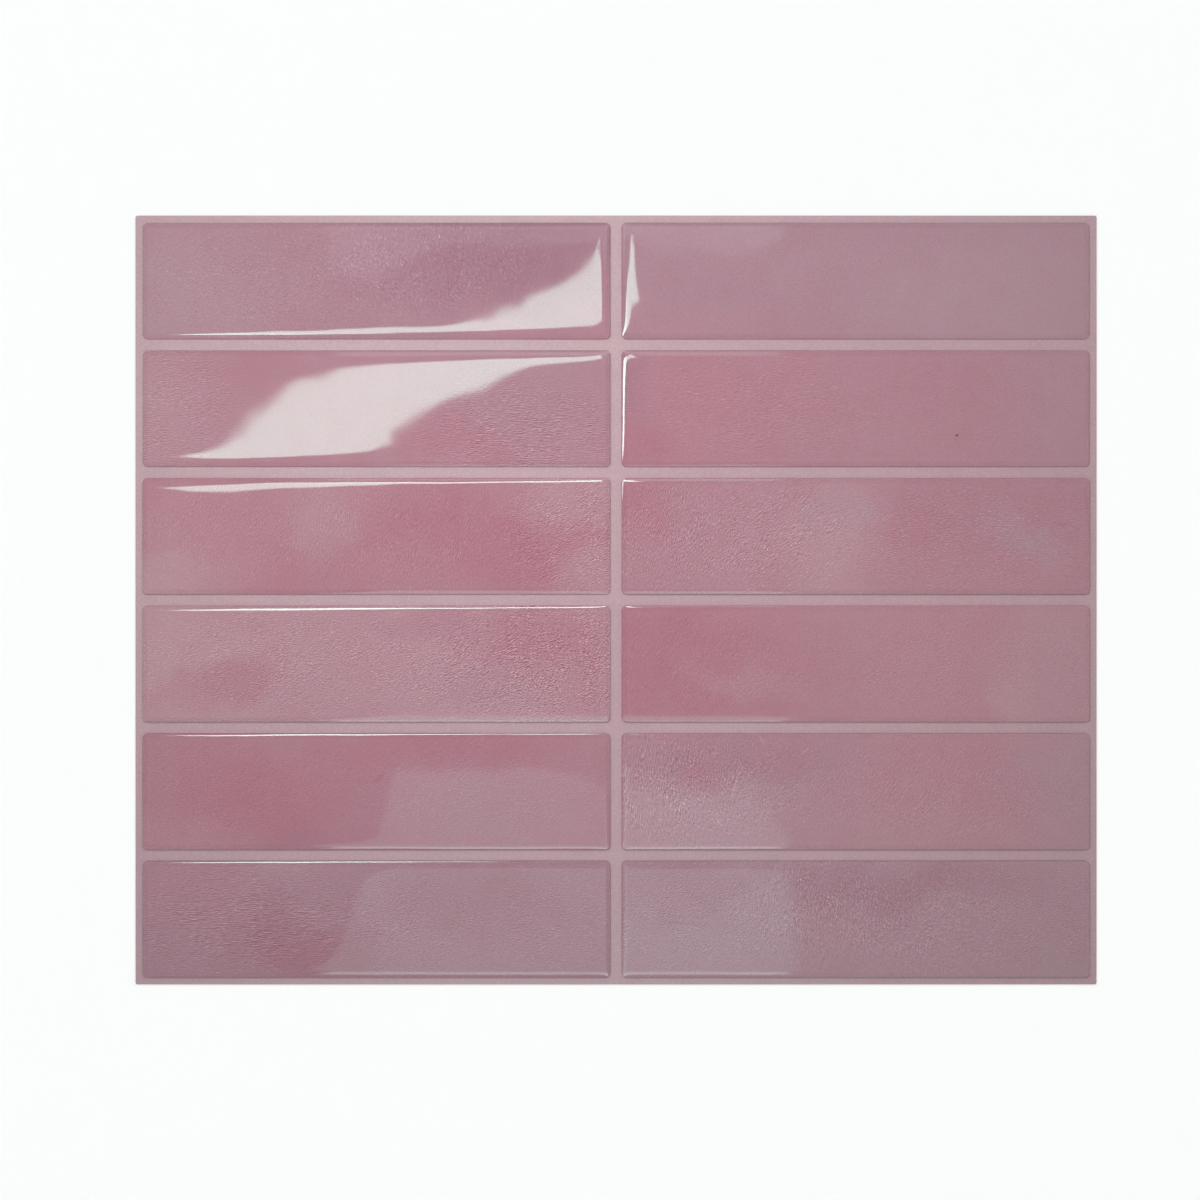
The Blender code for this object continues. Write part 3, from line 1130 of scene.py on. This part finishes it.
# %% Corners and light of the softbox
CRISP = 0.006
FIRM = 0.010
SOFT = 0.05
SOFTBOX_CORNERS = [
    (-0.410, 0.117, CRISP),
    (-0.346, 0.165, FIRM),
    (-0.301, 0.208, FIRM),
    (-0.279, 0.210, FIRM),
    (-0.253, 0.225, FIRM),
    (-0.160, 0.250, FIRM),
    (-0.121, 0.262, CRISP),
    (-0.107, 0.274, CRISP),
    (-0.081, 0.281, CRISP),
    (-0.067, 0.293, CRISP),
    (-0.042, 0.301, CRISP),
    (-0.024, 0.312, CRISP),
    (0.006, 0.354, CRISP),
    (0.030, 0.273, CRISP),
    (0.000, 0.271, CRISP),
    (-0.030, 0.253, CRISP),
    (-0.108, 0.226, CRISP),
    (-0.126, 0.212, CRISP),
    (-0.160, 0.199, CRISP),
    (-0.192, 0.186, FIRM),
    (-0.209, 0.173, 0.014),
    (-0.211, 0.160, 0.012),
    (-0.228, 0.149, CRISP),
    (-0.280, 0.131, CRISP),
    (-0.306, 0.119, CRISP),
    (-0.345, 0.103, CRISP),
    (-0.385, 0.101, CRISP),
]
SOFTBOX_LIGHT = (7.7, 10.7, 9.7, 1.0)

# %% Corners and light of the three weak panels
VEIL_CORNERS = [
    (-0.290, -0.440, CRISP),
    (-0.190, -0.156, CRISP),
    (-0.090, -0.161, CRISP),
    (-0.020, -0.169, CRISP),
    (0.020, -0.182, CRISP),
    (0.060, -0.190, 0.02),
    (0.136, -0.196, 0.04),
    (0.162, -0.225, 0.02),
    (0.171, -0.260, 0.012),
    (0.176, -0.440, CRISP),
]
VEIL_LIGHT = (1.65, 2.0, 2.0, 1.0)
FAR_CORNERS = [
    (-0.272, -0.590, SOFT),
    (-0.252, -0.455, CRISP),
    (0.166, -0.455, CRISP),
    (0.168, -0.590, SOFT),
]
FAR_LIGHT = (2.7, 3.1, 3.1, 1.0)
UPPER_CORNERS = [
    (-0.254, 0.520, SOFT),
    (0.165, 0.520, SOFT),
    (0.165, 0.345, CRISP),
    (0.140, 0.338, 0.03),
    (0.060, 0.336, 0.03),
    (-0.012, 0.350, CRISP),
    (-0.166, 0.344, CRISP),
    (-0.220, 0.314, CRISP),
    (-0.254, 0.314, CRISP),
]
UPPER_LIGHT = (1.7, 1.9, 1.9, 1.0)

# %% Build the panels that the gel reflects
PANEL_HEIGHT = 1.2
FADE_ATTRIBUTE = "panel_share"
BLACK = (0.0, 0.0, 0.0, 1.0)
WHITE = (1.0, 1.0, 1.0, 1.0)


def add_panel(name, corners, light):
    """A flat glowing panel above the sheet. Its corners run clockwise, seen from above."""
    count = len(corners)
    inner = [Vector(corner[:2]) for corner in corners]
    outer = []
    for i in range(count):
        along = (inner[(i + 1) % count] - inner[i - 1]).normalized()
        outer.append(inner[i] + Vector((-along.y, along.x)) * corners[i][2])
    rim = [(i, (i + 1) % count, (i + 1) % count + count, i + count) for i in range(count)]
    mesh = bpy.data.meshes.new(name)
    mesh.from_pydata([(*place, PANEL_HEIGHT) for place in inner + outer], [], [range(count), *rim])
    share = mesh.attributes.new(FADE_ATTRIBUTE, "FLOAT", "POINT")
    share.data.foreach_set("value", [1.0] * count + [0.0] * count)
    material, tree, shader = new_material(name)
    fade = add_node(tree, "ShaderNodeAttribute", attribute_name=FADE_ATTRIBUTE).outputs["Fac"]
    glow = mix_colour(tree, smooth_step(tree, fade, 0.0, 1.0), WHITE, light)
    feed(tree, shader["Base Color"], BLACK)
    feed(tree, shader["Specular IOR Level"], 0.0)
    feed(tree, shader["Emission Color"], glow)
    feed(tree, shader["Emission Strength"], 1.0)
    mesh.materials.append(material)
    panel = add_object(name, mesh)
    panel.visible_camera = False
    return panel


add_panel("softbox", SOFTBOX_CORNERS, SOFTBOX_LIGHT)
weak_panels = [
    add_panel("veil_panel", VEIL_CORNERS, VEIL_LIGHT),
    add_panel("far_panel", FAR_CORNERS, FAR_LIGHT),
    add_panel("upper_panel", UPPER_CORNERS, UPPER_LIGHT),
]
for panel in weak_panels:
    panel.visible_diffuse = False
print("weak panels:", [panel.name for panel in weak_panels])

# %% Near lamp and room
LAMP_PLACE = (-0.038, 0.094, 0.337)
LAMP_SIZE = 0.22
LAMP_SHARE = 0.665
ROOM_SHARE = 0.363

lamp_data = bpy.data.lights.new("near_lamp", "AREA")
lamp_data.shape = "DISK"
lamp_data.size = LAMP_SIZE
lamp_data.energy = LAMP_SHARE * math.pi**2 * LAMP_PLACE[2] ** 2
lamp = add_object("near_lamp", lamp_data)
lamp.location = LAMP_PLACE
lamp.visible_camera = False
lamp.visible_glossy = False


def seen_directly(tree):
    """1 for what the camera sees itself, in a reflection or through glass, otherwise 0."""
    path = add_node(tree, "ShaderNodeLightPath").outputs
    seen = calc(tree, "MAXIMUM", path["Is Camera Ray"], path["Is Glossy Ray"])
    return calc(tree, "MAXIMUM", seen, path["Is Transmission Ray"])


world = bpy.data.worlds.new("room")
world.use_nodes = True
bpy.context.scene.world = world
background = world.node_tree.nodes["Background"].inputs
feed(world.node_tree, background["Color"], WHITE)
seen = seen_directly(world.node_tree)
room_light = calc(world.node_tree, "MULTIPLY_ADD", seen, 1.0 - ROOM_SHARE, ROOM_SHARE)
feed(world.node_tree, background["Strength"], room_light)
print("near lamp in watts:", round(lamp_data.energy, 3))

# %% [markdown]
# ## The table
# The photograph's ground is white. The floor is a plain white plane that glows a little, just
# as much as the near lamp's fall-off takes away, so that it is evenly white and still takes the
# sheet's shadow. The fall-off under a round lamp has an exact formula, worked out below in
# nodes. The floor has no underside, so that the liner can be looked at from below.

# %% Floor
FLOOR_SIZE = 6.0
FLOOR_DROP = 0.05 * MM
FLOOR_WHITE = 0.935
FLOOR_COLOUR = 0.9

floor_mesh = bpy.data.meshes.new("floor")
half = FLOOR_SIZE / 2
floor_corners = [(-half, -half), (half, -half), (half, half), (-half, half)]
floor_mesh.from_pydata([(x, y, cad_box[0].z - FLOOR_DROP) for x, y in floor_corners], [], [range(4)])
floor_material, tree, shader = new_material("floor")
floor_place = add_node(tree, "ShaderNodeTexCoord").outputs["Object"]
off_axis = vector_calc(tree, "SUBTRACT", floor_place, LAMP_PLACE)
off_axis = vector_calc(tree, "MULTIPLY", off_axis, FLATTEN)
distance_squared = vector_calc(tree, "DOT_PRODUCT", off_axis, off_axis)
height_squared = LAMP_PLACE[2] ** 2
radius_squared = (LAMP_SIZE / 2) ** 2
away = calc(tree, "ADD", distance_squared, height_squared)
root = calc(tree, "POWER", calc(tree, "ADD", away, radius_squared), 2.0)
root = calc(tree, "SQRT", calc(tree, "MULTIPLY_ADD", distance_squared, -4 * radius_squared, root))
unlit = calc(tree, "DIVIDE", calc(tree, "SUBTRACT", away, radius_squared), root)
lamp_light = LAMP_SHARE * height_squared / (2 * radius_squared)
lit = calc(tree, "MULTIPLY_ADD", unlit, -lamp_light, lamp_light + ROOM_SHARE)
glow = calc(tree, "MULTIPLY_ADD", lit, -FLOOR_COLOUR, FLOOR_WHITE)
feed(tree, shader["Base Color"], (FLOOR_COLOUR, FLOOR_COLOUR, FLOOR_COLOUR, 1.0))
feed(tree, shader["Specular IOR Level"], 0.0)
feed(tree, shader["Roughness"], 1.0)
feed(tree, shader["Emission Color"], WHITE)
feed(tree, shader["Emission Strength"], glow)
above = calc(tree, "SUBTRACT", 1.0, add_node(tree, "ShaderNodeNewGeometry").outputs["Backfacing"])
feed(tree, shader["Alpha"], calc(tree, "MULTIPLY", above, seen_directly(tree)))
floor_mesh.materials.append(floor_material)
floor = add_object("floor", floor_mesh)
print("floor in m:", FLOOR_SIZE)

# %% [markdown]
# ## Last settings
# Colours are shown as they are written, with the Standard view transform. The dressed sheet has
# to stay within the box of its solids.

# %% Finish
bpy.context.scene.view_settings.view_transform = "Standard"

print("solids' box:", [round(value / MM, 3) for value in (*cad_box[0], *cad_box[1])])
